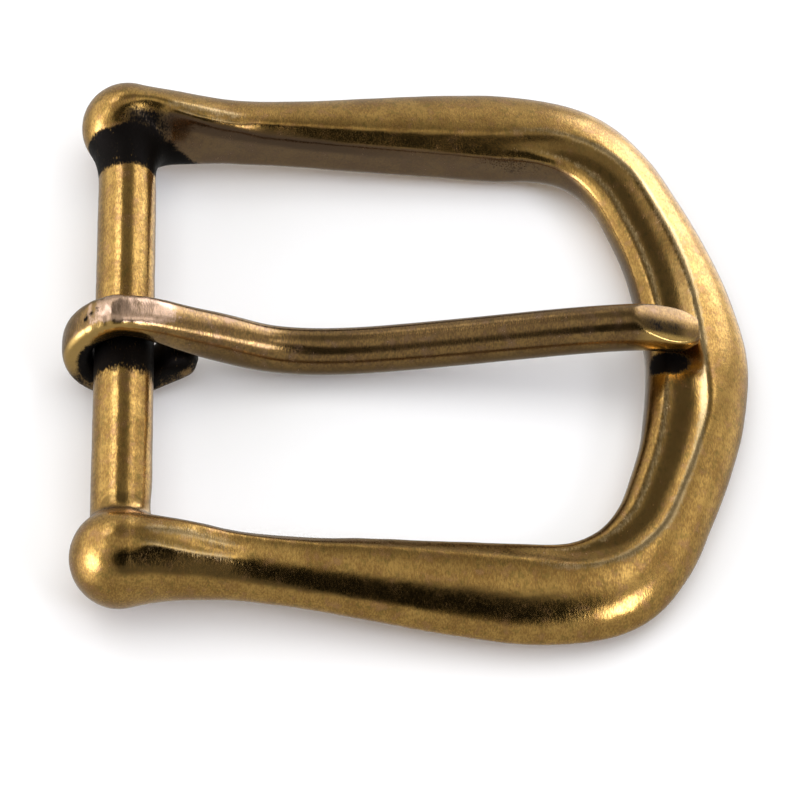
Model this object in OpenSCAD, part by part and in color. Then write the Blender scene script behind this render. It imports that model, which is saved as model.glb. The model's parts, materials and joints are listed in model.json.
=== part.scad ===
// Pin buckle for a 38 mm strap: a U-shaped casting with a heel bar, and a forged pin that swings on it.
// The buckle lies on its back. +X runs from the heel bar to the bow, +Y across the strap, +Z up.
// The origin is the middle of the buckle's box, at the bottom.

/* [Heel] */
// Diameter of the heel bar that the strap and the pin wrap round
bar_d = 5.4; // [5.0:0.1:5.5]
// Diameter of the round knob at each end of the bar
knob_d = 8.8; // [8.4:0.1:9.0]
// Distance from the buckle's middle line to the centre of each knob
knob_y = 23.6; // [22.5:0.1:25]

/* [Frame] */
// Distance from the bar's axis to the outermost point of the bow
reach = 58.1; // [55:0.1:62]

/* [Pin] */
// Diameter of the bore in the pin's loop
bore_d = 6.0; // [6.0:0.1:6.2]
// Thickness of the loop's band
band_t = 2.6; // [2.4:0.1:2.6]
// Width of the loop's band along the bar
band_w = 3.8; // [3.6:0.1:4.2]
// Diameter of the pin's shank
shank_d = 4.3; // [4.1:0.1:4.4]

/* [Hidden] */
$fn = 96;
BRASS = [0.62, 0.47, 0.22];
BROWN_BRASS = [0.56, 0.42, 0.24];

bar_r = bar_d / 2;
knob_r = knob_d / 2;
loop_r = bore_d / 2 + band_t;
loop_mid = bore_d / 2 + band_t / 2;
bar_h = loop_r;                   // the loop touches the surface that the buckle lies on
shift_x = (reach - loop_r) / 2;
TABLE_REACH = 58.1;               // the tables below are drawn for this reach
TABLE_KNOB_Y = 23.6;              // and for knobs this far from the middle line
stretch_x = reach / TABLE_REACH;
stretch_y = knob_y / TABLE_KNOB_Y;

// Columns of SECTIONS. A section stands on the line from the rim's inner edge to its outer edge.
IN_X = 0;     // inner edge, distance from the bar's axis
IN_Y = 1;     // inner edge, distance from the middle line
OUT_X = 2;    // outer edge, distance from the bar's axis
OUT_Y = 3;    // outer edge, distance from the middle line
BACK_Z = 4;   // underside
NOSE_Z = 5;   // bottom of the inner wall
WALL_Z = 6;   // top of the inner wall
RIDGE_Z = 7;  // top of the ridge
WIDE_Z = 8;   // height at which the outer side is widest
LEDGE = 9;    // width of the ledge between the wall and the ridge
ROUND = 10;   // 1 for an oval section, 0 for one with a wall and a ledge

// One arm and half of the bow, from the heel to the middle line.
SECTIONS = [
    [-0.8, 19.6, -0.8, 27.7, 1.4, 2.4, 8.6, 9.8, 5.6, 1.0, 1.0],
    [ 1.5, 19.6,  1.5, 27.7, 1.5, 2.5, 8.6, 9.8, 5.7, 1.0, 1.0],
    [ 4.0, 20.4,  4.0, 27.4, 1.9, 3.1, 8.5, 9.6, 5.9, 1.0, 0.8],
    [ 7.0, 21.1,  7.0, 27.1, 2.1, 3.4, 7.9, 9.0, 5.6, 1.0, 0.5],
    [10.5, 21.6, 10.5, 27.0, 2.1, 3.3, 7.1, 8.3, 5.2, 1.1, 0.2],
    [16.0, 21.7, 16.0, 27.6, 1.9, 3.0, 6.5, 7.6, 4.7, 1.3, 0.0],
    [22.0, 21.5, 22.0, 28.6, 1.5, 2.7, 6.1, 7.2, 4.1, 1.6, 0.0],
    [29.0, 21.4, 29.0, 29.7, 1.0, 2.3, 5.6, 6.7, 3.5, 2.0, 0.0],
    [34.9, 21.2, 36.3, 30.3, 0.6, 2.1, 5.0, 6.3, 3.0, 2.5, 0.0],
    [39.0, 21.0, 42.7, 29.4, 0.3, 2.7, 4.7, 6.1, 2.7, 3.2, 0.0],
    [42.0, 19.6, 47.1, 27.0, 0.1, 3.4, 4.6, 6.0, 2.5, 3.9, 0.0],
    [44.1, 17.0, 50.5, 22.7, 0.0, 3.6, 4.6, 6.0, 2.4, 4.4, 0.0],
    [45.5, 13.6, 52.9, 17.7, 0.0, 3.5, 4.5, 6.0, 2.4, 4.6, 0.0],
    [46.7,  9.8, 55.0, 12.6, 0.0, 3.3, 4.4, 6.0, 2.3, 4.8, 0.0],
    [47.5,  5.4, 56.8,  6.8, 0.0, 3.0, 4.2, 6.0, 2.2, 4.9, 0.0],
    [48.0,  0.0, 58.1,  0.0, 0.0, 2.9, 4.1, 6.0, 2.2, 4.9, 0.0],
];
// Fillet from the bar into the knob: height above the bar, distance from the knob's centre
KNOB_ROOT = [[0, 4.7], [0.15, 4.3], [0.5, 3.8], [0.8, 3.2]];
STEPS = 3;        // rings between two rows of a table
EDGE_R = 0.7;     // rounding of the wall's top edge
NOSE_SLOPE = 1.2; // width of the rounding under the wall, for each mm of its height
BACK_FLAT = 0.5;  // share of the width where the flat back ends
LEDGE_RISE = [[0.38, 0.42], [0.75, 0.6]]; // ledge between wall and ridge: share of width, share of rise

TAIL_A = 290;     // where the loop's free end leaves the round, degrees from +X
TAIL_DRIFT = 0.27; // sideways drift of the free end, for each mm of its length
// Free end: distance from where it leaves the round, share of the band's size
TAIL_END = [[5.4, 0.5], [5.0, 0.85], [4.4, 1], [2.7, 1]];
LOOP_STEP = 10;   // degrees between two rings of the loop
LEAD = 0.9;       // sideways drift of the loop from its top to its bottom
LOOP_SQ = 0.6;    // squareness of the loop's band, as PIN_SQ
LOOP_IN = 0.8;    // extra depth on the loop's inner side, which the bore cuts away
SIDES = 20;       // corners of a ring of the pin
TIP_X = 46.3;     // where the ground facet of the tip starts
TIP_Z = 4.4;
TIP_SLOPE = 21;   // slope of the facet, degrees
CUT = 20;         // size of the block that cuts the facet

// Columns of SHANK. A ring stands square to the pin's centre line.
PIN_X = 0;  // distance from the bar's axis
PIN_Z = 1;  // height above the bar's axis
PIN_T = 2;  // thickness in the pin's own plane, as a share of the shank's diameter
PIN_W = 3;  // width along the bar, as a share of the shank's diameter
PIN_SQ = 4; // 1 for an oval ring, less for a squarer one
PIN_Y = 5;  // sideways place along the bar
PIN_IN = 6; // extra depth on the inner side, as a share of LOOP_IN

// The pin from the top of its loop to its tip
SHANK = [
    [ 0.0,  4.2, 0.58, 0.89, 0.6, -0.9, 1.0],
    [ 2.6,  3.3, 0.70, 0.91, 0.7, -0.7, 0.8],
    [ 5.4,  1.6, 0.88, 0.95, 0.8, -0.5, 0.2],
    [ 9.0, -0.2, 0.98, 1.00, 0.9, -0.2, 0.0],
    [12.7, -1.8, 1.00, 1.00, 1.0, -0.1, 0.0],
    [16.4, -2.4, 1.00, 1.00, 1.0,  0.0, 0.0],
    [19.7, -2.3, 1.00, 1.00, 1.0,  0.0, 0.0],
    [23.7, -1.8, 1.00, 1.00, 1.0,  0.0, 0.0],
    [31.0, -0.4, 1.00, 1.00, 1.0,  0.0, 0.0],
    [38.2,  1.1, 1.00, 1.00, 1.0,  0.0, 0.0],
    [43.2,  2.0, 1.00, 1.00, 1.0,  0.0, 0.0],
    [46.8,  2.4, 1.00, 1.00, 1.0,  0.0, 0.0],
    [49.6,  2.2, 0.98, 0.98, 1.0,  0.0, 0.0],
    [51.5,  1.7, 0.85, 0.85, 1.0,  0.0, 0.0],
    [52.7,  1.3, 0.50, 0.50, 1.0,  0.0, 0.0],
];

function row(t, i) = t[max(0, min(len(t) - 1, i))];

// Value of one column between rows i and i + 1, on a smooth curve through the rows
function smooth(t, i, s, c) =
    let (a = row(t, i - 1)[c], b = row(t, i)[c], d = row(t, i + 1)[c], e = row(t, i + 2)[c])
    b + 0.5 * s * (d - a + s * (2 * a - 5 * b + 4 * d - e + s * (3 * (b - d) + e - a)));
function between(t, i, s) = [for (c = [0 : len(t[0]) - 1]) smooth(t, i, s, c)];

// All rows of a table with the smooth rows between them
function fine(t, n) = concat(
    [for (i = [0 : len(t) - 2]) for (k = [0 : n - 1]) between(t, i, k / n)],
    [t[len(t) - 1]]);

// Outline of a section: distance from the inner edge, and height
function arc(cx, cz, rx, rz, a0, a1, n) =
    [for (k = [0 : n]) let (a = a0 + (a1 - a0) * k / n) [cx + rx * cos(a), cz + rz * sin(a)]];
function cast_outline(w, r) =
    let (under = r[NOSE_Z] - r[BACK_Z], rise = r[RIDGE_Z] - r[WALL_Z])
    concat(
        arc(under * NOSE_SLOPE, r[NOSE_Z], under * NOSE_SLOPE, under, 270, 180, 3),
        arc(EDGE_R, r[WALL_Z] - EDGE_R, EDGE_R, EDGE_R, 180, 120, 2),
        [for (p = LEDGE_RISE) [r[LEDGE] * p[0], r[WALL_Z] + rise * p[1]]],
        arc(r[LEDGE], r[WIDE_Z], w - r[LEDGE], r[RIDGE_Z] - r[WIDE_Z], 90, 0, 6),
        arc(w * BACK_FLAT, r[WIDE_Z], w * (1 - BACK_FLAT), r[WIDE_Z] - r[BACK_Z], -15, -90, 5));

// The same outline drawn towards an oval by the section's ROUND
function section_outline(w, r) =
    let (zc = (r[BACK_Z] + r[RIDGE_Z]) / 2, h = r[RIDGE_Z] - r[BACK_Z])
    [for (p = cast_outline(w, r))
        let (a = atan2((p[1] - zc) / h, (p[0] - w / 2) / w),
             q = [w / 2 * (1 + cos(a)), zc + h / 2 * sin(a)])
        p * (1 - r[ROUND]) + q * r[ROUND]];

// A section's outline put in place in the frame, and never below the surface that the buckle lies on
function section_ring(r) =
    let (dx = r[OUT_X] - r[IN_X], dy = r[OUT_Y] - r[IN_Y], w = norm([dx, dy]))
    [for (p = section_outline(w, r))
        [stretch_x * (r[IN_X] + dx / w * p[0]), stretch_y * (r[IN_Y] + dy / w * p[0]), max(0, p[1])]];

// The same section on the other arm
function mirrored(r) = [for (c = [0 : len(r) - 1]) (c == IN_Y || c == OUT_Y) ? -r[c] : r[c]];

// Closed skin over a row of rings that all have the same number of points
module skin(rings) {
    n = len(rings[0]);
    m = len(rings);
    points = [for (ring = rings) for (p = ring) p];
    sides = [for (i = [0 : m - 2]) for (k = [0 : n - 1])
        let (a = i * n + k, b = i * n + (k + 1) % n) each [[a, b, b + n], [a, b + n, a + n]]];
    first = [[for (k = [n - 1 : -1 : 0]) k]];
    last = [[for (k = [0 : n - 1]) (m - 1) * n + k]];
    polyhedron(points, concat(sides, first, last));
}

// Arms and bow in one sweep from the upper knob round to the lower knob
module rim() {
    other_arm = [for (i = [len(SECTIONS) - 2 : -1 : 0]) mirrored(SECTIONS[i])];
    skin([for (r = fine(concat(SECTIONS, other_arm), STEPS)) section_ring(r)]);
}

// Heel bar with both knobs, turned about the bar's axis
module heel() {
    half = concat(
        [for (p = KNOB_ROOT) [bar_r + p[0], knob_y - p[1]]],
        [for (a = [-30 : 10 : 90]) [knob_r * cos(a), knob_y + knob_r * sin(a)]]);
    other = [for (i = [len(half) - 1 : -1 : 0]) [half[i][0], -half[i][1]]];
    translate([0, 0, bar_h]) rotate([-90, 0, 0]) rotate_extrude() polygon(concat(other, half));
}

module frame() {
    color(BRASS) translate([-shift_x, 0, 0]) union() {
        rim();
        heel();
    }
}

// Pin from the loop's free end, back round the bar and along the shank to the tip
function loop_row(a) =
    [loop_mid * cos(a), loop_mid * sin(a), band_t, band_w, LOOP_SQ,
     SHANK[0][PIN_Y] - LEAD * sin((a - 90) / 2), 1];
function tail_row(s, size) =
    let (r = loop_row(TAIL_A))
    [r[PIN_X] - s * sin(TAIL_A), r[PIN_Z] + s * cos(TAIL_A), band_t * size, band_w * size, LOOP_SQ,
     r[PIN_Y] + s * TAIL_DRIFT, 0];
function shank_row(r) =
    [r[PIN_X] * stretch_x, r[PIN_Z], r[PIN_T] * shank_d, r[PIN_W] * shank_d, r[PIN_SQ], r[PIN_Y], r[PIN_IN]];
function pin_rows() = concat(
    [for (e = TAIL_END) tail_row(e[0], e[1])],
    [for (a = [TAIL_A : -LOOP_STEP : 90 + LOOP_STEP]) loop_row(a)],
    fine([for (r = SHANK) shank_row(r)], STEPS));

// One ring of the pin, square to the line through its neighbours
function pin_ring(t, i) =
    let (r = t[i], b = t[max(0, i - 1)], e = t[min(len(t) - 1, i + 1)],
         d = [e[PIN_X] - b[PIN_X], e[PIN_Z] - b[PIN_Z]], u = d / norm(d))
    [for (k = [0 : SIDES - 1])
        let (c = cos(-360 * k / SIDES), s = sin(-360 * k / SIDES),
             w = r[PIN_W] / 2 * sign(c) * pow(abs(c), r[PIN_SQ]),
             depth = r[PIN_T] / 2 + (s < 0 ? r[PIN_IN] * LOOP_IN : 0),
             h = depth * sign(s) * pow(abs(s), r[PIN_SQ]))
        [r[PIN_X] - u[1] * h, r[PIN_Y] + w, r[PIN_Z] + u[0] * h]];

module pin() {
    rows = pin_rows();
    color(BROWN_BRASS) translate([-shift_x, 0, bar_h]) difference() {
        skin([for (i = [0 : len(rows) - 1]) pin_ring(rows, i)]);
        rotate([90, 0, 0]) cylinder(d = bore_d, h = 2 * band_w, center = true);
        translate([TIP_X * stretch_x, 0, TIP_Z]) rotate([0, TIP_SLOPE, 0])
            translate([-CUT / 2, -CUT / 2, 0]) cube(CUT);
    }
}

frame();
pin();
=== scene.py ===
import json
import math

import bpy
import numpy as np
from mathutils import Matrix, Vector, kdtree, noise


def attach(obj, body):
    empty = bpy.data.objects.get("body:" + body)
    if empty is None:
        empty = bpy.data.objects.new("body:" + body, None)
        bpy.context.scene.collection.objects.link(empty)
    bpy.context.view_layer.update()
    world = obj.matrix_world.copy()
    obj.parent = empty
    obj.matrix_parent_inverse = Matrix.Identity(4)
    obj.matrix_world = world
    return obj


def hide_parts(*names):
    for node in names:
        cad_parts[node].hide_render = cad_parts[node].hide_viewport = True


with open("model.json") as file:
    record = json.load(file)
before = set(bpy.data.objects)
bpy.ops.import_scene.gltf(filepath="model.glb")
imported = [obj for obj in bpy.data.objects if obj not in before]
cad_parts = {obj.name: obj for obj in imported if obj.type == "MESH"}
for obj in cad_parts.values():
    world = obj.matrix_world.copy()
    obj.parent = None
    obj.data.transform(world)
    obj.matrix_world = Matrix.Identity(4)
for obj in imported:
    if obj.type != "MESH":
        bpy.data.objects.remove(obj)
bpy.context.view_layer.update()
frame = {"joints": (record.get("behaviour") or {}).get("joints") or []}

# Sizes are in millimetres. The shapes are measured from the heel bar's axis, which the joint gives.
# A span of two places is a soft rise from the first to the second, and a span of four is a rise and a fall.
# A bell has a middle and a reach.
MM = 0.001
swing = next(j for j in frame["joints"] if j["name"] == "pin_swing")
BAR_X, BAR_Y, BAR_H = (c / MM for c in swing["pos_m"])

# Main sizes of the heel and the pin
BAR_R = 2.7
KNOB_R = 4.4
KNOB_Y = 23.6           # place of a knob's centre along the bar
ROOT_UP = 9.0           # radius of the fillet from the bar into the upper knob
ROOT_LOW = 1.2          # and into the lower knob
BORE_R = 2.85           # bore of the pin's loop
BAND_T = 2.75           # thickness of the loop's band
BAND_W = 3.8            # width of the loop's band
SHANK_D = 4.3

# Sections of the rim from the upper knob to the bow's point. A section stands on the line from the rim's
# inner edge to its outer edge. Its heights are those of the back, the wall's foot and top, the ridge and the
# widest place. LEDGE is the width from the wall to the ridge, and ROUND the share of a plain oval.
IN_X, IN_Y, OUT_X, OUT_Y, BACK_Z, NOSE_Z, WALL_Z, RIDGE_Z, WIDE_Z, LEDGE, ROUND = range(11)
SECTIONS = [
    [-0.8, 19.6, -0.8, 27.7, 1.4, 2.4, 8.6, 9.8, 5.6, 1.0, 1.0],
    [1.5, 19.6, 1.5, 27.7, 1.5, 2.5, 8.6, 9.8, 5.7, 1.0, 1.0],
    [4.0, 20.4, 4.0, 27.4, 1.9, 3.1, 8.5, 9.6, 5.9, 1.0, 0.6],
    [7.0, 21.1, 7.0, 27.1, 2.1, 3.4, 7.9, 9.0, 5.6, 1.0, 0.25],
    [10.5, 21.6, 10.5, 27.0, 2.1, 3.3, 7.1, 8.3, 5.2, 1.1, 0.05],
    [16.0, 21.7, 16.0, 27.6, 1.9, 3.0, 6.5, 7.6, 4.7, 1.3, 0.0],
    [22.0, 21.5, 22.0, 28.6, 1.5, 2.7, 6.1, 7.2, 4.1, 1.6, 0.0],
    [29.0, 21.4, 29.0, 29.7, 1.0, 2.3, 5.6, 6.7, 3.5, 2.0, 0.0],
    [34.9, 21.2, 36.3, 30.3, 0.6, 2.1, 5.0, 6.3, 3.0, 2.5, 0.0],
    [39.0, 21.0, 42.7, 29.4, 0.3, 2.7, 4.7, 6.1, 2.7, 3.2, 0.0],
    [42.0, 19.6, 47.1, 27.0, 0.1, 3.4, 4.6, 6.0, 2.5, 3.9, 0.0],
    [44.1, 17.0, 50.5, 22.7, 0.0, 3.6, 4.6, 6.0, 2.4, 4.6, 0.0],
    [45.5, 13.6, 52.9, 17.7, 0.0, 3.5, 4.5, 6.0, 2.4, 4.8, 0.0],
    [46.7, 9.8, 55.0, 12.6, 0.0, 3.3, 4.4, 6.0, 2.3, 5.0, 0.0],
    [47.5, 5.4, 56.8, 6.8, 0.0, 3.0, 4.2, 6.0, 2.2, 5.1, 0.0],
    [48.0, 0.0, 57.75, 0.0, 0.0, 2.9, 4.1, 6.0, 2.2, 4.95, 0.0],
]
# What only one half has: the column that changes, how much, and the column, middle and reach of the change
UPPER_CHANGES = [
    (WALL_Z, 0.6, OUT_X, 7.0, 3.5),         # the wall reaches higher in the arm's neck
    (LEDGE, -0.35, IN_Y, 11.0, 7.0),        # the ridge stands further in above the tip
]
LOWER_CHANGES = [
    (OUT_Y, 0.2, OUT_X, 11.0, 8.0),         # the arm's neck stands further out
    (LEDGE, 0.7, IN_Y, 3.0, 6.0),           # the ridge stands further out below the tip
]
EDGE_R = 0.45           # rounding of the wall's top edge
EDGE_END = 120          # degrees at which it meets the ledge
NOSE_SLOPE = 1.2        # width of the rounding under the wall, for each mm of its height
BACK_FLAT = 0.25        # share of the width where the flat back ends
BACK_START = -4         # degrees at which the rounding of the back leaves the outer side
CREST_TURN = 27         # degrees by which the bow's outer side starts below level at the ridge
BEVEL_WIDTH, SHELF_WIDTH = 2.0, 4.2     # a ledge between these widths is part bevel and part shelf

# Rise from the wall to the ridge, by share of the ledge's width: in the arms' bevel, and on the bow's shelf,
# where a low bead follows the opening, a flat recess lies outside it and a slope leads to the ridge
RISE_AT, BEVEL, SHELF = range(3)
RISES = np.array([
    [0.00, 0.00, 0.00],
    [0.07, 0.08, 0.25],
    [0.18, 0.20, 0.47],
    [0.31, 0.35, 0.66],
    [0.40, 0.45, 0.58],
    [0.66, 0.71, 0.62],
    [0.88, 0.91, 0.80],
    [1.00, 1.00, 1.00],
])

# Low ridges along the two necks: height, and places of the line seen from above
RIDGES = [
    (0.12, [(3.9, 23.8), (6.7, 23.6), (8.4, 23.4), (10.0, 23.3)]),
    (0.30, [(4.0, 22.9), (5.3, 22.65), (6.7, 22.4), (8.4, 22.2), (10.3, 22.05)]),
    (0.12, [(2.5, -22.85), (6.0, -23.15), (9.0, -23.75)]),
    (0.15, [(2.5, -24.5), (6.0, -25.0), (9.0, -25.15)]),
]
RIDGE_WIDE = 0.55                       # half the width of a ridge
RIDGE_ENDS = (-1.5, 0.5, -0.5, 2.5)     # where it rises and falls, counted from the two ends of its line
RIDGE_FACING = (0.2, 0.5)               # only what faces up is raised

# Drawing back of the upper knob's inner wall: how far, low down and under the brow, and over which spans
DRAW_LOW, DRAW_LOW_X = 0.4, (1, 4, 4, 12)
DRAW_HIGH, DRAW_HIGH_X = 2.2, (10.5, 1)
DRAW_HEIGHTS = (5.4, 8.6)               # from low down to the brow
DRAW_X, DRAW_Y = (-4, 2.5), (17.2, 19, 20.5, 25.5)

# Smoothing of the frame, first all over and then in places, which have bells along X and Y and a span in z
ALL_SHARE, ALL_PASSES = 0.5, 2
PLACE_SHARE = 0.6
KNOB_FROM = 18.4        # the knobs start this far from the middle of the bar
NECK_X, NECK_PASSES = (3.4, 1.9), 30
CORNER_X, CORNER_Y, CORNER_Z, CORNER_PASSES = (2.9, 1.4), (18.9, 1.6), (1.5, -0.5), 90
BROW_X, BROW_Y, BROW_Z, BROW_PASSES = (0.8, 2.6), (22.0, 2.2), (1.0, 2.5), 40

# Unevenness of the casting: height and size of the bumps, and share and number of the smaller ones on them
ROUGH_HEIGHT, ROUGH_SIZE = 0.025, 3.5
FINER_SHARE, FINER = 0.5, 2.3

# Rows of the pin from the top of its loop to the tip. A ring stands square to the pin's centre line.
# Thickness and width are shares of SHANK_D. A squareness of 1 is an oval, and less is squarer.
PIN_X, PIN_Z, PIN_T, PIN_W, PIN_SQ, PIN_Y = range(6)
SHANK = [
    [0.0, 4.2, 0.58, 0.89, 0.72, -0.9],
    [2.6, 3.3, 0.70, 0.91, 0.76, -0.7],
    [5.4, 1.6, 0.88, 0.95, 0.84, -0.5],
    [9.0, -0.2, 0.98, 1.00, 0.9, -0.2],
    [12.7, -1.8, 1.00, 1.00, 1.0, -0.1],
    [16.4, -2.4, 1.00, 1.00, 1.0, 0.0],
    [19.7, -2.3, 1.00, 1.00, 1.0, 0.0],
    [23.7, -1.8, 1.00, 1.00, 1.0, 0.0],
    [31.0, -0.4, 1.00, 1.00, 1.0, 0.0],
    [38.2, 1.1, 1.00, 1.00, 1.0, 0.0],
    [43.2, 2.0, 1.00, 1.00, 1.0, 0.0],
    [46.8, 2.4, 1.00, 1.00, 1.0, 0.0],
    [49.5, 2.2, 0.98, 0.98, 1.0, 0.0],
    [51.2, 1.75, 0.86, 0.84, 1.0, 0.05],
    [52.3, 1.7, 0.50, 0.52, 1.0, 0.1],
]
LOOP_TOP = 90           # degrees about the bar from +X, where the shank leaves the loop
TAIL_A = 290            # where the loop's free end leaves the round
LOOP_SQ = 0.72          # squareness of the band
LOOP_LEAD = 0.9         # how far the band drifts sideways round the bar
TAIL_DRIFT = 0.27       # sideways drift of the free end, for each mm of its length
# Free end: distance from where it leaves the round, share of the band's size
TAIL_END = [(5.4, 0.5), (5.0, 0.85), (4.4, 1), (2.7, 1)]
# How much fuller the free end is beside the bar, and where
TAIL_FILL, FILL_X, FILL_Z = 0.9, (3.8, 1.2), (-3.4, -2.2, -0.6, 0.2)
# Hammer's marks on top of the loop: depth, marks for each mm along X, Y and Z, and where
HAMMER, HAMMER_MARKS = 0.07, (1.9, 0.7, 1.9)
HAMMER_X, HAMMER_Z = (8, 3), (3.4, 4.2)
# Ground face of the tip: start, height there, slope in degrees, radius across it, and reach before the start
TIP_X, TIP_Z, TIP_SLOPE, TIP_CROWN, TIP_REACH = 46.3, 4.4, 18, 5.0, 3

# Fineness of the meshes
RIM_STEPS = 9           # rings between two rows of SECTIONS
RING_POINTS = 150       # points of one ring of the rim
NOSE_POINTS, EDGE_POINTS, OUTER_POINTS, BACK_POINTS = 14, 8, 30, 26     # of a section's round stretches
SHELF_STEPS = 6         # points between two rows of RISES
RING_PASSES = 3         # smoothing passes over each ring
HEEL_SIDES = 120
ROOT_POINTS, BALL_POINTS = 12, 40
BALL_END = 89           # degrees at which the knob's outline ends, just before its pole
VOXEL = 0.25            # grain of the mesh that joins the rim and the heel
LOOP_STEP = 10          # degrees between two rows of the loop
PIN_STEPS = 8           # rings between two rows of the pin
PIN_SIDES = 64
PIN_PASSES = 10         # smoothing passes along the pin
EDGE_STEPS = 40         # places of the opening's edge between two rows of SECTIONS

# Camera: the photograph's angle, worked out from the outline
CAM_AZ, CAM_EL, CAM_ROLL = -8.483, 56.092, 7.924
CAM_DISTANCE = 275.8
CAM_TARGET = (24.825, -4.74, 3.0)       # from the bar's axis, height above the floor
CAM_SCALE = 10.973                      # pixels for each mm at the target
PHOTO_SIDE = 794
SENSOR = 36
CAM_CLIP = (0.01, 10)                   # metres

# Masks say where the metal is black, old, of the second tone or bare, and where shadow, shade, light and
# highlights are painted. A patch of a mask has a strength and a span for each coordinate that bounds it. ny
# and nz say how the surface faces, and height is from the floor.

# Black patina of the frame. Beside the pin's loop and under its tip it is painted shadow of the pin as well.
BLACK_PLACES = [                        # middle, and reach along X, Y and Z
    ((0.0, -3.2, 0.0), (6.0, 3.3, 6.0)),        # bar inside and beside the pin's loop
    ((49.6, -2.0, -0.6), (2.6, 1.5, 1.2)),      # bow under the pin's tip
]
BLACK_EDGE = (1.15, 0.6)                # span at the edge of such a place, by share of its reach
ROOT_START = (16.9, 17.8)               # Y where the root of the upper knob turns black
ROOT_LINE = (-1.8, 0.8, 21.35, 22.1)    # its end: two X, and the Y of the end at each
ROOT_BLUR = (-1.5, 1, 0.35, 0.55)       # two X, and the softness of that end at each
ROOT_REACH, ROOT_HEIGHT = 3.0, 7.6      # how far it reaches ahead of the bar at this height
ROOT_LEAN = 0.8                         # and how much further for each mm below it
ROOT_EDGE = (-0.6, 0.9)                 # span round that reach
THIN_WAY = (0.1, 0.55, -0.83)           # these are thinner on the sides that face this way
THIN_SHARE = 0.5
THIN_FACING = (0, 0.35)
BROW_BLACK = dict(strength=0.76, x=(-1.2, 0.6, 2.5, 5.5), y=(19, 20, 22.7, 23.9))
JOINT_BLACK = dict(strength=0.5, x=(3.2, 1), z=(-1, 1))
JOINT_Y = (-20.2, 0.3)                  # bell across the joint of the bar and the lower knob
PITS_BLACK = dict(strength=0.42, y=(18, 20), ny=(-0.6, -0.9), height=(2.5, 4))
PITS_X = (36.5, 3.5)                    # bell along the wall of the upper arm

# Black patina of the pin, with painted shade in its bore and on the loop's near side next to it, low on that
# side, in the gap at the free end and on the near half of the tip's ground face
LOOP_END = 7.5                          # the loop's patina ends before this X
BORE_EDGE = (BORE_R + 0.5, BORE_R + 0.1)
SIDE_FACING = (-0.2, -0.5)              # ny of the loop's near side
SIDE_REACH = (-1.5, -3.5, BORE_R + 0.7, BORE_R + 1.3)      # two X, and the radius of the black there at each
SIDE_EDGE = (-0.3, 0.4)                 # span round that radius
SIDE_END = 3                            # it ends before this X
# Painted shade: darker towards the bottom of the loop's near side
UNDER_BLACK = dict(strength=0.62, ny=SIDE_FACING, z=(-0.3, -2.0))
# Painted shade on the free end, in the gap below the shank
TAIL_BLACK = dict(x=(0.5, 2.0), nz=(-0.3, 0.2))
TAIL_TOP, TAIL_SLOPE = (1.2, 0.7), 0.35     # z where the free end turns black, and its fall for each mm of x
GLINT_SHARE, GLINT_REACH = 0.9, 0.55      # spot on the free end's side where the black is left off for a painted glint
GLINT_X, GLINT_Z = 5.7, -2.5
LOOP_PITS = [(-2.4, -0.9), (-2.9, -1.25), (-3.4, -1.6)]    # hammer pits in the loop, seen from above
PIT_REACH, PIT_Z = 0.26, (3, 4)
FACE_FACING = (0.7, 0.85)               # nz of the tip's ground face
# Painted dark reflection on the near half of the tip's ground face
FACE_BLACK = dict(strength=0.5, x=(TIP_X, TIP_X + 1.2, 50.0, 51.2), y=(0.3, -0.3, -1.2, -1.6), nz=FACE_FACING)

# Old finish of the frame, with painted shade and reflection in the same mask. On the bow's shelf the old
# finish fills the recess, from one share of the width to another, and lies thinner on the bead.
RECESS_START, RECESS_START_BLUR = 0.38, 0.1
RECESS_END, RECESS_END_BLUR = 0.95, 0.08
LOWER_END_LESS = 0.12                   # how much earlier it ends on the lower half
OLD_BEAD, OLD_RECESS = 0.3, 0.55
UPPER_OLD_MORE = 0.12                   # how much stronger it is on the upper half
UPPER_HALF = (0, 5)                     # span in Y from the bow's lower half to its upper half
LEDGE_FACING = (0.3, 0.6)
# A darker line beside the opening's edge, on the bow's lower half
LINE_DARK = dict(strength=0.9, x=(38, 43), y=(4, -2), nz=(0.2, 0.5))
LINE_AT = (0.5, 0.28)                   # bell beside the edge of the opening, on the lower half
BROW_OLD = dict(strength=0.93, x=(-1.6, 0.2, 2.6, 5.2), y=(19, 20, 22.6, 23.6))
# A darker band along the top of the upper arm's inner wall
WALL_TOP_DARK = dict(strength=0.9, x=(2.5, 4.5, 18, 32), y=(18, 20), ny=(-0.5, -0.75))
WALL_TOP_AT = ([6.7, 16.0, 36.0], [8.5, 6.5, 5.0])      # X, and height of the wall's top there
WALL_TOP_EDGE = (-1.3, -0.8)              # span in height, counted from that top
# Painted dark reflection of the tent's dark opening, in a stripe along the lower arm where it faces the
# viewer
STRIPE_REFLECTION = dict(strength=0.88, x=(-1.6, 0.4, 34, 42), y=(-20, -21), nz=(0.2, 0.4))
STRIPE_LOW = (12, 33, 0.40, 0.28)       # two X, and how far the surface faces the viewer where it starts
STRIPE_HIGH = (11, 33, 0.76, 0.56)      # and where it ends
STRIPE_LOW_EDGE, STRIPE_HIGH_EDGE = (-0.08, 0.04), (-0.06, 0.05)

# Painted shade of the pin, low on the shank's near side and on the tip's ground face, most of all on its near
# half
SHANK_SHADE = dict(strength=0.6, x=(4, 9), ny=(-0.3, -0.8), nz=(0.5, -0.1))
FACE_SHADE = dict(x=(TIP_X - 1, TIP_X, 50.2, 51.4), y=(-1.7, -1.35), nz=FACE_FACING)
FACE_HALVES = (0.4, -0.4, 0.3, 0.9)     # from the face's far half to its near half, and strength on each

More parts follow.
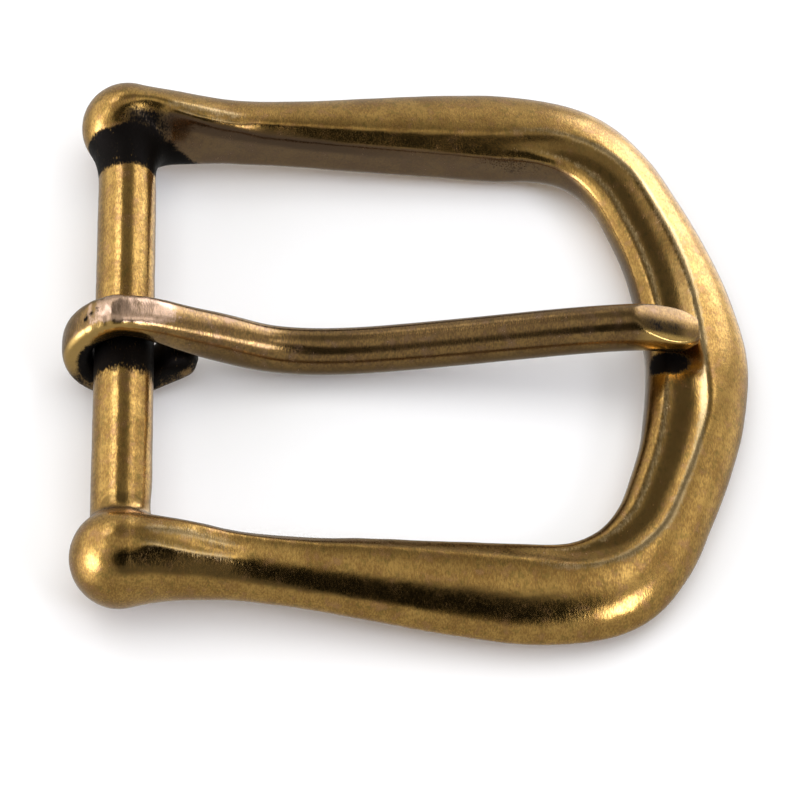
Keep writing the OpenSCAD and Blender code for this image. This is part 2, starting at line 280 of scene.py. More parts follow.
# Second tone: brown walls of the opening, partly painted shade, and gold on the near side of the loop and of
# the tip, which is painted light
MIDDLE_X = (5, 38)                      # the walls face the middle line of the opening, between these X
WALL_FACING, WALL_X = (0.6, 0.86), (1.0, 4.0)
LOOP_GOLD = dict(x=(4, -0.8), z=(-3, 1), ny=(-0.3, -0.55))
TIP_GOLD = dict(x=(TIP_X - 0.5, TIP_X + 1.5), y=(-1.1, -1.6))

# Bare metal worn bright, and painted highlight lines: strength and reach of the bow's ridge and bead, and
# strength of the necks' ridges
CREST_WEAR_AND_HIGHLIGHT, CREST_REACH = 0.9, 0.4
CREST_OUT = 0.05                        # how far outside the ledge it is brightest
BEAD_WEAR_AND_HIGHLIGHT, BEAD_REACH = 0.6, 0.32
BEAD_AT = 0.34                          # place of the bead, by share of the ledge's width
NECK_WEAR_AND_HIGHLIGHT = 0.6
BARE_FACING = (0.8, 0.95)
LOOP_BARE = dict(strength=0.8, x=(12, 3), z=(3.5, 4.4), nz=(0.75, 0.92))    # hammered flat on top

# Colours of the metal: bright and worn brass, olive flecks, rosy blotches, second tone and bare metal, which
# also serve as painted light, shade and highlights
FRAME_COLOURS = dict(
    bright=(0.80, 0.485, 0.13), worn=(0.44, 0.235, 0.055), olive=(0.32, 0.215, 0.045),
    rosy=(0.69, 0.37, 0.17), tone_and_painted_shading=(0.15, 0.10, 0.07), bare_and_highlight=(0.95, 0.69, 0.34))
PIN_COLOURS = dict(
    bright=(0.46, 0.28, 0.095), worn=(0.25, 0.14, 0.05), olive=(0.20, 0.13, 0.04),
    rosy=(0.44, 0.27, 0.16), tone_and_painted_shading=(0.82, 0.53, 0.16), bare_and_highlight=(0.88, 0.60, 0.43))
# Dark brown of the old finish and of painted shade, and black of the patina and of painted shadow
OLD_BROWN_AND_SHADE, BLACK = (0.095, 0.060, 0.022), (0.012, 0.010, 0.009)

# Grains of the metal: size in mm, detail, and how much longer the features are along X, Y and Z
CLOUD = (3.2, 3, (1, 1, 1))
BLOTCH = (1.1, 3, (1, 1, 1))
SPECK = (0.17, 2, (0.8, 2.2, 1.2))
FLECK = (0.5, 2, (1, 1.6, 1))
# Sums of the grains: a weight for each
TARNISH = (0.45, 0.35, 0.6)             # cloud, blotch and speck
KEPT = (0.6, 0.4)                       # speck and blotch, for how much of the old finish and painted shade is kept
UNEVEN, UNEVEN_MIDDLE = (0.7, 0.9), 0.8     # blotch and speck
RELIEF = (0.5, 0.6)                     # speck and fleck
# Ramps over the grains and masks: start, end, and value at each if it isn't 0 and 1
WORN_RAMP = (0.52, 0.86)
OLIVE_RAMP = (0.52, 0.72, 0, 0.55)
ROSY_RAMP = (0.54, 0.7, 0, 0.4)
KEPT_RAMP = (0.4, 0.68, 1.0, 0.72)
BARE_RAMP = (0.15, 0.8, 0, 0.85)
BLACK_RAMP = (0.2, 0.85)
ROUGH_RAMP = (0.5, 0.85, 0.14, 0.26)
TONE_SHARE = 0.8
BLACK_ROUGHER = 0.35                    # how much rougher the black patina and painted shadow are
COAT, COAT_ROUGH = 0.4, 0.12
COAT_OFF = 0.9                          # how much of the coat is off where the finish is old or shade is painted
BUMP, BUMP_DEPTH = 0.3, 0.06
MIX_INPUTS, MIX_RESULT = (0, 6, 7), 2   # sockets of a Mix node that mixes colours

# Floor: reach from its middle to each side in metres, colour, roughness and shine
FLOOR_REACH = 0.6
FLOOR_COLOUR, FLOOR_ROUGH, FLOOR_SHINE = (0.92, 0.92, 0.92), 0.9, 0.2

# Studio: a pale tent with brighter panels and a dark opening where the photographer stands.
# Azimuth is counted from +X towards +Y, elevation from the floor.
TENT, LEAST_LIGHT = 0.42, 0.02
AZ, EL, WIDE, SOFT, GLOW = range(5)
PANELS = [
    [56, 14, 14, 8, 2.6],       # back right, the brightest
    [55, -20, 15, 12, 0.8],     # and the floor that it lights
    [25, -5, 12, 10, 0.3],
    [48, 38, 6, 5, 1.0],
    [14, 62, 6, 5, 0.8],
    [8, 26, 10, 8, 0.3],
    [150, 26, 26, 14, 0.45],    # back left
    [128, 46, 8, 5, 1.5],
    [108, 32, 7, 6, 0.5],
    [-177, 44, 12, 8, 0.7],
    [-33, 42, 8, 5, 6.0],       # front right
    [-160, 16, 14, 9, 3.6],     # front left
    [-165, 4, 24, 16, 0.8],
    [90, 54, 16, 10, -0.27],    # dim wall at the back
    [-88, 58, 19, 6, -0.42],    # the photographer's side
    [-52, 66, 13, 6, -0.40],
    [-90, -30, 60, 30, -0.06],  # the floor in front
]
# The tent's light is warm where it is dim and cool where it is bright
TINT_RAMP, WARM, COOL = (0.6, 2.4), (1, 0.98, 0.93), (0.96, 0.98, 1.1)
# Overhead fill: energy in watts, side and height in metres
FILL_ENERGY, FILL_SIDE, FILL_HEIGHT = 5.0, 0.9, 0.8


def bell(x, middle, reach):
    """1 at the middle, fading to both sides."""
    return np.exp(-((x - middle) / reach) ** 2)


def step(x, start, end):
    """A soft step from 0 at the start to 1 at the end, which may be the smaller of the two."""
    s = np.clip((x - start) / (end - start), 0, 1)
    return s * s * (3 - 2 * s)


def fade(x, span):
    """Rises between the first two places of a span and, if it has four, falls between the last two."""
    up = step(x, span[0], span[1])
    return up * (1 - step(x, span[2], span[3])) if len(span) == 4 else up


def ease(x, start, end, first, last):
    """A soft change from the first value to the last, between two places."""
    return first + (last - first) * step(x, start, end)


def catmull(rows, steps):
    """All rows of a table with smooth rows between them."""
    t = np.array(rows, float)
    before = np.vstack([t[:1], t[:-1]])
    after = np.vstack([t[1:], t[-1:]])
    later = np.vstack([t[2:], t[-1:], t[-1:]])
    made = []
    for s in np.arange(steps) / steps:
        made.append(t + 0.5 * s * (after - before + s * (
            2 * before - 5 * t + 4 * after - later + s * (3 * (t - after) + later - before))))
    between = np.stack(made, 1)[:-1].reshape(-1, t.shape[1])
    return np.vstack([between, t[-1:]])


def arc(cx, cz, rx, rz, a0, a1, count):
    """Points along an oval from one angle to another, in degrees."""
    a = np.radians(np.linspace(a0, a1, count))
    return np.column_stack([cx + rx * np.cos(a), cz + rz * np.sin(a)])


def even_ring(points, count):
    """A closed outline with its points spaced evenly along it."""
    closed = np.vstack([points, points[:1]])
    along = np.r_[0, np.cumsum(np.linalg.norm(np.diff(closed, axis=0), axis=1))]
    at = np.linspace(0, along[-1], count, endpoint=False)
    return np.column_stack([np.interp(at, along, closed[:, k]) for k in range(points.shape[1])])


def shelf_share(ledge):
    """0 where a ledge of this width is an arm's bevel, 1 where it is the bow's shelf."""
    return np.clip((ledge - BEVEL_WIDTH) / (SHELF_WIDTH - BEVEL_WIDTH), 0, 1)


def section_outline(row):
    """Outline of a rim section: distance from the inner edge, and height."""
    width = math.hypot(row[OUT_X] - row[IN_X], row[OUT_Y] - row[IN_Y])
    under = row[NOSE_Z] - row[BACK_Z]
    rise = row[RIDGE_Z] - row[WALL_Z]
    share = shelf_share(row[LEDGE])
    lift = RISES[:, BEVEL] * (1 - share) + RISES[:, SHELF] * share
    ledge = np.column_stack([RISES[:, RISE_AT] * row[LEDGE], row[WALL_Z] + lift * rise])
    crest = 90 - CREST_TURN * share
    wide = (width - row[LEDGE]) / (1 - math.cos(math.radians(crest)))
    tall = (row[RIDGE_Z] - row[WIDE_Z]) / math.sin(math.radians(crest))
    flat = width * BACK_FLAT
    outline = np.vstack([
        arc(under * NOSE_SLOPE, row[NOSE_Z], under * NOSE_SLOPE, under, 270, 180, NOSE_POINTS),
        arc(EDGE_R, row[WALL_Z] - EDGE_R, EDGE_R, EDGE_R, 180, EDGE_END, EDGE_POINTS),
        catmull(ledge, SHELF_STEPS)[1:-1],
        arc(width - wide, row[WIDE_Z], wide, tall, crest, 0, OUTER_POINTS),
        arc(flat, row[WIDE_Z], width - flat, row[WIDE_Z] - row[BACK_Z], BACK_START, -90, BACK_POINTS),
    ])
    middle = (row[BACK_Z] + row[RIDGE_Z]) / 2
    height = row[RIDGE_Z] - row[BACK_Z]
    a = np.arctan2((outline[:, 1] - middle) / height, (outline[:, 0] - width / 2) / width)
    oval = np.column_stack([width / 2 * (1 + np.cos(a)), middle + height / 2 * np.sin(a)])
    ring = even_ring(outline * (1 - row[ROUND]) + oval * row[ROUND], RING_POINTS)
    for _ in range(RING_PASSES):
        ring = (np.roll(ring, 1, 0) + 2 * ring + np.roll(ring, -1, 0)) / 4
    return ring, width


def section_ring(row):
    """The same outline put in place, from the bar's axis."""
    ring, width = section_outline(row)
    way = np.array([row[OUT_X] - row[IN_X], row[OUT_Y] - row[IN_Y]]) / width
    return np.column_stack([
        row[IN_X] + way[0] * ring[:, 0],
        row[IN_Y] + way[1] * ring[:, 0],
        np.maximum(ring[:, 1], 0.0) - BAR_H,
    ])


def mesh_piece(name, points, faces):
    """A mesh object from points in millimetres, measured from the bar's axis."""
    mesh = bpy.data.meshes.new(name)
    placed = (np.asarray(points) + [BAR_X, BAR_Y, BAR_H]) * MM
    mesh.from_pydata(placed.tolist(), [], faces)
    mesh.validate()
    piece = bpy.data.objects.new(name, mesh)
    bpy.context.scene.collection.objects.link(piece)
    return piece


def skin(rings):
    """Points and faces of a closed skin over rings with the same number of points."""
    n, m = len(rings[0]), len(rings)
    faces = [
        (i * n + k, i * n + (k + 1) % n, (i + 1) * n + (k + 1) % n, (i + 1) * n + k)
        for i in range(m - 1) for k in range(n)
    ]
    faces.append(tuple(range(n - 1, -1, -1)))
    faces.append(tuple(range((m - 1) * n, m * n)))
    return np.vstack(rings), faces


def changed(rows, changes):
    """The sections with the changes that only this half of the rim has."""
    rows = rows.copy()
    for column, amount, along, middle, reach in changes:
        rows[:, column] += amount * bell(rows[:, along], middle, reach)
    return rows


def rim_skin():
    """Arms and bow in one sweep from the upper knob round to the lower knob."""
    sections = np.array(SECTIONS, float)
    upper = changed(sections, UPPER_CHANGES)
    lower = changed(sections[-2::-1], LOWER_CHANGES)
    lower[:, [IN_Y, OUT_Y]] *= -1
    rows = catmull(np.vstack([upper, lower]), RIM_STEPS)
    return skin([section_ring(row) for row in rows])


def knob_profile(fillet):
    """Half of the heel's outline: radius about the bar's axis, and place along it."""
    apart = KNOB_R + fillet
    back = math.sqrt(apart ** 2 - (BAR_R + fillet) ** 2)
    touch = math.degrees(math.atan2(back, BAR_R + fillet))
    root = arc(BAR_R + fillet, KNOB_Y - back, -fillet, fillet, 0, touch, ROOT_POINTS)
    ball = arc(0, KNOB_Y, KNOB_R, KNOB_R, -touch, BALL_END, BALL_POINTS)
    return np.vstack([root, ball[1:]])


def heel_skin():
    """Heel bar with both knobs, turned about the bar's axis."""
    lower = knob_profile(ROOT_LOW) * [1, -1]
    profile = np.vstack([lower[::-1], knob_profile(ROOT_UP)])
    turn = np.radians(np.arange(HEEL_SIDES) * 360 / HEEL_SIDES)
    rings = [np.column_stack([r * np.cos(turn), np.full(HEEL_SIDES, y), r * np.sin(turn)])
             for r, y in profile]
    return skin(rings)


def joined(name, *pieces):
    """The pieces as one closed mesh with an even grain."""
    with bpy.context.temp_override(active_object=pieces[0], selected_editable_objects=list(pieces)):
        bpy.ops.object.join()
    piece = pieces[0]
    piece.name = name
    remesh = piece.modifiers.new("Remesh", "REMESH")
    remesh.mode = "VOXEL"
    remesh.voxel_size = VOXEL * MM
    apply_modifiers(piece)
    return piece


def apply_modifiers(piece):
    graph = bpy.context.evaluated_depsgraph_get()
    made = bpy.data.meshes.new_from_object(piece.evaluated_get(graph))
    piece.modifiers.clear()
    old = piece.data
    piece.data = made
    bpy.data.meshes.remove(old)


def places(piece):
    """The piece's points in millimetres, from the bar's axis."""
    co = np.zeros(len(piece.data.vertices) * 3)
    piece.data.vertices.foreach_get("co", co)
    return co.reshape(-1, 3) / MM - [BAR_X, BAR_Y, BAR_H]


def normals(piece):
    n = np.zeros(len(piece.data.vertices) * 3)
    piece.data.vertex_normals.foreach_get("vector", n)
    return n.reshape(-1, 3)


def set_places(piece, points):
    placed = (points + [BAR_X, BAR_Y, BAR_H]) * MM
    piece.data.vertices.foreach_set("co", placed.ravel())
    piece.data.update()


def shade_smooth(piece):
    piece.data.polygons.foreach_set("use_smooth", [True] * len(piece.data.polygons))


def soften(piece, share, passes):
    """Moves each point towards the middle of its neighbours, by its share."""
    edges = np.zeros(len(piece.data.edges) * 2, int)
    piece.data.edges.foreach_get("vertices", edges)
    a, b = edges.reshape(-1, 2).T
    points = places(piece)
    count = np.bincount(np.r_[a, b], minlength=len(points))[:, None]
    for _ in range(passes):
        total = np.column_stack([
            np.bincount(np.r_[a, b], np.r_[points[b, k], points[a, k]], len(points)) for k in range(3)])
        points = points + share[:, None] * (total / count - points)
    set_places(piece, points)


def roughen(piece):
    """Slight unevenness left by casting and hand polishing."""
    points = places(piece)
    lift = [noise.noise(Vector(q) / ROUGH_SIZE) + FINER_SHARE * noise.noise(Vector(q) * FINER / ROUGH_SIZE)
            for q in points]
    set_places(piece, points + normals(piece) * np.array(lift)[:, None] * ROUGH_HEIGHT)


def draw_back(piece):
    """Draws the upper knob's inner wall back from the bar, most of all under its brow."""
    points = places(piece)
    x, y, z = points.T
    low = DRAW_LOW * fade(x, DRAW_LOW_X)
    high = DRAW_HIGH * fade(x, DRAW_HIGH_X)
    shift = ease(z + BAR_H, *DRAW_HEIGHTS, low, high) * fade(x, DRAW_X) * fade(y, DRAW_Y)
    points[:, 1] += shift
    set_places(piece, points)


def smooth_heel(piece):
    """Blends the arms and the bar into the knobs."""
    at_knob = np.abs(places(piece)[:, 1]) > KNOB_FROM
    soften(piece, np.full(len(at_knob), ALL_SHARE), ALL_PASSES)
    neck = bell(places(piece)[:, 0], *NECK_X) * at_knob
    soften(piece, PLACE_SHARE * neck, NECK_PASSES)
    x, y, z = places(piece).T
    corner = bell(x, *CORNER_X) * bell(np.abs(y), *CORNER_Y) * fade(z, CORNER_Z)
    soften(piece, PLACE_SHARE * corner, CORNER_PASSES)
    x, y, z = places(piece).T
    brow = bell(x, *BROW_X) * bell(y, *BROW_Y) * fade(z, BROW_Z)
    soften(piece, PLACE_SHARE * brow, BROW_PASSES)


def on_ridge(p, line):
    """1 on a ridge's line, fading to its sides and ends."""
    xs, ys = np.array(line).T
    ends = fade(p[:, 0], xs[[0, 0, -1, -1]] + RIDGE_ENDS)
    return ends * bell(p[:, 1], np.interp(p[:, 0], xs, ys), RIDGE_WIDE)


def raise_ridges(piece):
    p = places(piece)
    upward = fade(normals(piece)[:, 2], RIDGE_FACING)
    p[:, 2] += upward * sum(height * on_ridge(p, line) for height, line in RIDGES)
    set_places(piece, p)


def build_frame():
    rim = mesh_piece("rim_part", *rim_skin())
    heel = mesh_piece("heel_part", *heel_skin())
    piece = joined("buckle_frame", rim, heel)
    draw_back(piece)
    smooth_heel(piece)
    raise_ridges(piece)
    roughen(piece)
    shade_smooth(piece)
    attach(piece, "frame")
    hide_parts("frame")
    return piece


def loop_row(a):
    """A row of the band where it goes round the bar, at an angle from +X."""
    mid = BORE_R + BAND_T / 2
    x, z = mid * math.cos(math.radians(a)), mid * math.sin(math.radians(a))
    y = SHANK[0][PIN_Y] - LOOP_LEAD * math.sin(math.radians(a - LOOP_TOP) / 2)
    return [x, z, BAND_T, BAND_W, LOOP_SQ, y]


def tail_row(s, size):
    """A row of the free end, which goes straight on from the round."""
    x, z, _, _, _, y = loop_row(TAIL_A)
    a = math.radians(TAIL_A)
    x, z = x - s * math.sin(a), z + s * math.cos(a)
    return [x, z, BAND_T * size, BAND_W * size, LOOP_SQ, y + s * TAIL_DRIFT]


def pin_rows():
    """Rows from the loop's free end, back round the bar and along the shank to the tip."""
    tail = [tail_row(s, size) for s, size in TAIL_END]
    turn = [loop_row(a) for a in range(TAIL_A, LOOP_TOP, -LOOP_STEP)]
    shank = np.array(SHANK) * [1, 1, SHANK_D, SHANK_D, 1, 1]
    rows = catmull(np.vstack([tail, turn, shank]), PIN_STEPS)
    for _ in range(PIN_PASSES):
        rows[1:-1] = (rows[:-2] + 2 * rows[1:-1] + rows[2:]) / 4
    return rows


def pin_rings(rows):
    way = np.gradient(rows[:, [PIN_X, PIN_Z]], axis=0)
    way /= np.linalg.norm(way, axis=1)[:, None]
    turn = 2 * math.pi * np.arange(PIN_SIDES) / PIN_SIDES
    c, s = np.cos(turn), np.sin(turn)
    rings = []
    for row, u in zip(rows, way):
        side = row[PIN_W] / 2 * np.sign(c) * np.abs(c) ** row[PIN_SQ]
        up = row[PIN_T] / 2 * np.sign(s) * np.abs(s) ** row[PIN_SQ]
        rings.append(np.column_stack([row[PIN_X] - u[1] * up, row[PIN_Y] + side, row[PIN_Z] + u[0] * up]))
    return rings


def fill_tail(points):
    x, _, z = points.T
    points[:, 2] += TAIL_FILL * bell(x, *FILL_X) * fade(z, FILL_Z)


def hammer_loop(points):
    x, _, z = points.T
    dents = [noise.noise(Vector(q)) for q in points * HAMMER_MARKS]
    points[:, 2] += HAMMER * fade(z, HAMMER_Z) * fade(x, HAMMER_X) * np.array(dents)


def clear_bore(points):
    """Pushes out what lies inside the bore."""
    grow = np.maximum(1.0, BORE_R / np.hypot(points[:, 0], points[:, 2]))
    points[:, [0, 2]] *= grow[:, None]


def grind_tip(points):
    """Cuts the tip's top off along the sloped and slightly crowned face."""
    x, y, z = points.T
    face = TIP_Z - (x - TIP_X) * math.tan(math.radians(TIP_SLOPE)) - y ** 2 / (2 * TIP_CROWN)
    points[:, 2] = np.where(x > TIP_X - TIP_REACH, np.minimum(z, face), z)


def build_pin():
    points, faces = skin(pin_rings(pin_rows()))
    fill_tail(points)
    hammer_loop(points)
    clear_bore(points)
    grind_tip(points)
    piece = mesh_piece("buckle_pin", points, faces)
    shade_smooth(piece)
    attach(piece, "pin")
    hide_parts("pin")
    return piece


def make_camera():
    az, el, roll = (math.radians(v) for v in (CAM_AZ, CAM_EL, CAM_ROLL))
    back = Vector((math.sin(az) * math.cos(el), -math.cos(az) * math.cos(el), math.sin(el)))
    right = Vector((math.cos(az), math.sin(az), 0))
    up = back.cross(right)
    side = right * math.cos(roll) + up * math.sin(roll)
    upward = up * math.cos(roll) - right * math.sin(roll)
    lens = bpy.data.cameras.new("Camera")
    lens.sensor_width = SENSOR
    lens.lens = CAM_SCALE * CAM_DISTANCE / PHOTO_SIDE * SENSOR
    lens.clip_start, lens.clip_end = CAM_CLIP
    camera = bpy.data.objects.new("Camera", lens)
    target = Vector((CAM_TARGET[0] + BAR_X, CAM_TARGET[1] + BAR_Y, CAM_TARGET[2]))
    camera.rotation_mode = "QUATERNION"
    turn = np.column_stack([side, upward, back]).tolist()
    camera.rotation_quaternion = Matrix(turn).to_quaternion()
    camera.location = (target + back * CAM_DISTANCE) * MM
    bpy.context.scene.collection.objects.link(camera)
    bpy.context.scene.camera = camera


def from_opening(p):
    """Distance, seen from above, from the opening's edge, and the width of the ledge there."""
    arm = catmull(np.array(SECTIONS)[:, [IN_X, IN_Y, LEDGE]], EDGE_STEPS)
    line = np.vstack([arm, arm * [1, -1, 1]])
    tree = kdtree.KDTree(len(line))
    for i, (x, y, _) in enumerate(line):
        tree.insert((x, y, 0), i)
    tree.balance()
    near = [tree.find((x, y, 0)) for x, y, _ in p]
    return np.array([hit[2] for hit in near]), line[[hit[1] for hit in near], 2]


def patch(p, n, strength=1, **spans):
    """A patch of a mask: its strength, faded over the spans that bound it."""
    x, y, z = p.T
    along = {"x": x, "y": y, "z": z, "height": z + BAR_H, "ny": n[:, 1], "nz": n[:, 2]}
    total = np.full(len(p), float(strength))
    for name, span in spans.items():
        total *= fade(along[name], span)
    return total


def knob_root(p):
    """The root of the upper knob, inside the opening."""
    x, y, z = p.T
    line, blur = ease(x, *ROOT_LINE), ease(x, *ROOT_BLUR)
    reach = ROOT_REACH + ROOT_LEAN * (ROOT_HEIGHT - z - BAR_H)
    inside = fade(y, ROOT_START) * (1 - step(y, line - blur, line + blur))
    return inside * (1 - step(x, reach + ROOT_EDGE[0], reach + ROOT_EDGE[1]))


# Black patina, with painted shadow of the pin beside its loop and under its tip
def frame_black_and_shadow(p, n):
    away = [np.linalg.norm((p - middle) / reach, axis=1) for middle, reach in BLACK_PLACES]
    spots = [step(distance, *BLACK_EDGE) for distance in away]
    black = np.maximum.reduce([*spots, knob_root(p)]) * (1 - THIN_SHARE * fade(n @ THIN_WAY, THIN_FACING))
    brow = patch(p, n, **BROW_BLACK)
    joint = patch(p, n, **JOINT_BLACK) * bell(p[:, 1], *JOINT_Y)
    pits = patch(p, n, **PITS_BLACK) * bell(p[:, 0], *PITS_X)
    return np.maximum.reduce([black, brow, joint, pits])


def ledge_recess(p, n, away, ledge):
    """Bevel of the arms, bead and recess of the bow's shelf."""
    at, share, upper = away / ledge, shelf_share(ledge), fade(p[:, 1], UPPER_HALF)
    start = RECESS_START * share
    end = RECESS_END - LOWER_END_LESS * share * (1 - upper)
    old = OLD_RECESS + UPPER_OLD_MORE * share * upper
    filled = ease(at, start, start + RECESS_START_BLUR, OLD_BEAD * share, old)
    filled *= 1 - step(at, end - RECESS_END_BLUR, end + RECESS_END_BLUR)
    return filled * fade(n[:, 2], LEDGE_FACING)


def wall_top_dark(p, n):
    """Darker along the top of the upper arm's inner wall, below its bevel."""
    top = np.interp(p[:, 0], *WALL_TOP_AT)
    return patch(p, n, **WALL_TOP_DARK) * step(p[:, 2] + BAR_H, top + WALL_TOP_EDGE[0], top + WALL_TOP_EDGE[1])


def arm_dark_reflection(p, n):
    """Painted dark reflection of the tent's dark opening, along the lower arm, where its outer side turns
    over to face the viewer.
    """
    near = -n[:, 1]
    low, high = ease(p[:, 0], *STRIPE_LOW), ease(p[:, 0], *STRIPE_HIGH)
    start = step(near, low + STRIPE_LOW_EDGE[0], low + STRIPE_LOW_EDGE[1])
    end = step(near, high + STRIPE_HIGH_EDGE[0], high + STRIPE_HIGH_EDGE[1])
    return patch(p, n, **STRIPE_REFLECTION) * start * (1 - end)


def frame_old_finish_and_shade(p, n, away, ledge):
    """Where the polish left the old finish, with a painted dark reflection along the lower arm and darker
    bands by the opening's edge and at the upper wall's top.
    """
    edge_line = patch(p, n, **LINE_DARK) * bell(away, *LINE_AT)
    brow = patch(p, n, **BROW_OLD)
    return np.maximum.reduce([
        ledge_recess(p, n, away, ledge), edge_line, brow, wall_top_dark(p, n), arm_dark_reflection(p, n)])


def frame_wall_tone_and_shade(p, n):
    """The walls of the opening, which no polishing wheel reached; their brown is partly painted shade for the
    dim floor that they mirror.
    """
    ahead = np.column_stack([np.clip(p[:, 0], *MIDDLE_X) - p[:, 0], -p[:, 1]])
    ahead /= np.linalg.norm(ahead, axis=1)[:, None]
    facing = (n[:, :2] * ahead).sum(1)
    return fade(facing, WALL_FACING) * fade(p[:, 0], WALL_X)


def frame_bare_and_highlight(p, n, away, ledge):
    """The bow's ridge and bead and the necks' ridges, worn bright, with painted highlight lines along them.
    """
    crest = CREST_WEAR_AND_HIGHLIGHT * bell(away, ledge + CREST_OUT, CREST_REACH)
    bead = BEAD_WEAR_AND_HIGHLIGHT * bell(away, BEAD_AT * ledge, BEAD_REACH)
    bow = shelf_share(ledge) * np.maximum(crest, bead)
    necks = [NECK_WEAR_AND_HIGHLIGHT * on_ridge(p, line) for _, line in RIDGES]
    return np.maximum.reduce([bow, *necks]) * fade(n[:, 2], BARE_FACING)


def frame_masks(p, n):
    away, ledge = from_opening(p)
    return {
        "patina_and_shadow": frame_black_and_shadow(p, n),
        "old_finish_and_shade": frame_old_finish_and_shade(p, n, away, ledge),
        "tone_and_painted_shading": frame_wall_tone_and_shade(p, n),
        "bare_and_highlight": frame_bare_and_highlight(p, n, away, ledge),
    }


def loop_black_and_shade(p, n):
    """Bore and near side of the loop, the gap at its free end and the pits on top: black patina, and painted
    shade in the bore, in the gap and low on the near side.
    """
    x, y, z = p.T
    r = np.hypot(x, z)
    near, reach = fade(n[:, 1], SIDE_FACING), ease(x, *SIDE_REACH)
    side = near * (1 - step(r, reach + SIDE_EDGE[0], reach + SIDE_EDGE[1])) * (x < SIDE_END)
    below = patch(p, n, **UNDER_BLACK)
    free_end = patch(p, n, **TAIL_BLACK) * fade(z + TAIL_SLOPE * x, TAIL_TOP)
    pits = [bell(np.hypot(x - u, y - v), 0, PIT_REACH) * fade(z, PIT_Z) for u, v in LOOP_PITS]
    # The black is left off a spot on the free end's side for a painted glint
    worn = GLINT_SHARE * near * bell(np.hypot(x - GLINT_X, z - GLINT_Z), 0, GLINT_REACH)
    black = np.maximum.reduce([fade(r, BORE_EDGE), side, below, free_end, *pits])
    return black * (1 - worn) * (x < LOOP_END)


def pin_masks(p, n):
    """Painted shade lies low on the shank's near side and on the ground face, mostly on its near half; the
    gold on the near side of the loop and the tip is painted light.
    """
    face = patch(p, n, **FACE_SHADE) * ease(p[:, 1], *FACE_HALVES)
    return {
        "patina_and_shadow": np.maximum(loop_black_and_shade(p, n), patch(p, n, **FACE_BLACK)),
        "old_finish_and_shade": np.maximum(patch(p, n, **SHANK_SHADE), face),
        "tone_and_painted_shading": np.maximum(patch(p, n, **LOOP_GOLD), patch(p, n, **TIP_GOLD)),
        "bare_and_highlight": patch(p, n, **LOOP_BARE),
    }


def paint(piece, masks):
    """Keeps each mask as a number for each point of the mesh, which the material reads."""
    for name, values in masks(places(piece), normals(piece)).items():
        layer = piece.data.attributes.new(name, "FLOAT", "POINT")
        layer.data.foreach_set("value", np.clip(values, 0, 1).astype(np.float32))


def shader(name):
    material = bpy.data.materials.new(name)
    material.use_nodes = True
    tree = material.node_tree
    tree.nodes.clear()
    out = tree.nodes.new("ShaderNodeOutputMaterial")
    body = tree.nodes.new("ShaderNodeBsdfPrincipled")
    tree.links.new(body.outputs[0], out.inputs["Surface"])
    return material, tree, body


def link(tree, value, socket):
    """Feeds a socket with another node's output, a colour or a number."""
    if isinstance(value, bpy.types.NodeSocket):
        tree.links.new(value, socket)
    elif isinstance(value, tuple):
        socket.default_value = (*value, 1.0)
    else:
        socket.default_value = value


def calc(tree, operation, *values):
    node = tree.nodes.new("ShaderNodeMath")
    node.operation = operation
    for value, socket in zip(values, node.inputs):
        link(tree, value, socket)
    return node.outputs[0]


def weighted(tree, values, weights):
    """The sum of the values, each times its weight."""
    total = calc(tree, "MULTIPLY", values[0], weights[0])
    for value, weight in zip(values[1:], weights[1:]):
        total = calc(tree, "ADD", total, calc(tree, "MULTIPLY", value, weight))
    return total


def ramp(tree, value, low, high, start=0.0, end=1.0):
    """A soft step: start below low, end above high."""
    node = tree.nodes.new("ShaderNodeMapRange")
    node.interpolation_type = "SMOOTHSTEP"
    for number, socket in zip((value, low, high, start, end), node.inputs):
        link(tree, number, socket)
    return node.outputs[0]


def mixed(tree, share, first, second):
    node = tree.nodes.new("ShaderNodeMix")
    node.data_type = "RGBA"
    for value, socket in zip((share, first, second), MIX_INPUTS):
        link(tree, value, node.inputs[socket])
    return node.outputs[MIX_RESULT]


def grain(tree, size, detail, stretch):
    """Noise whose features are about size millimetres, longer along the axes with a larger stretch."""
    place = tree.nodes.new("ShaderNodeTexCoord")
    scale = tree.nodes.new("ShaderNodeMapping")
    scale.inputs["Scale"].default_value = [1 / (size * MM * s) for s in stretch]
    cloud = tree.nodes.new("ShaderNodeTexNoise")
    cloud.inputs["Scale"].default_value = 1.0
    cloud.inputs["Detail"].default_value = detail
    tree.links.new(place.outputs["Object"], scale.inputs["Vector"])
    tree.links.new(scale.outputs[0], cloud.inputs["Vector"])
    return cloud.outputs["Fac"]


def mask(tree, name):
    node = tree.nodes.new("ShaderNodeAttribute")
    node.attribute_name = name
    return node.outputs["Fac"]


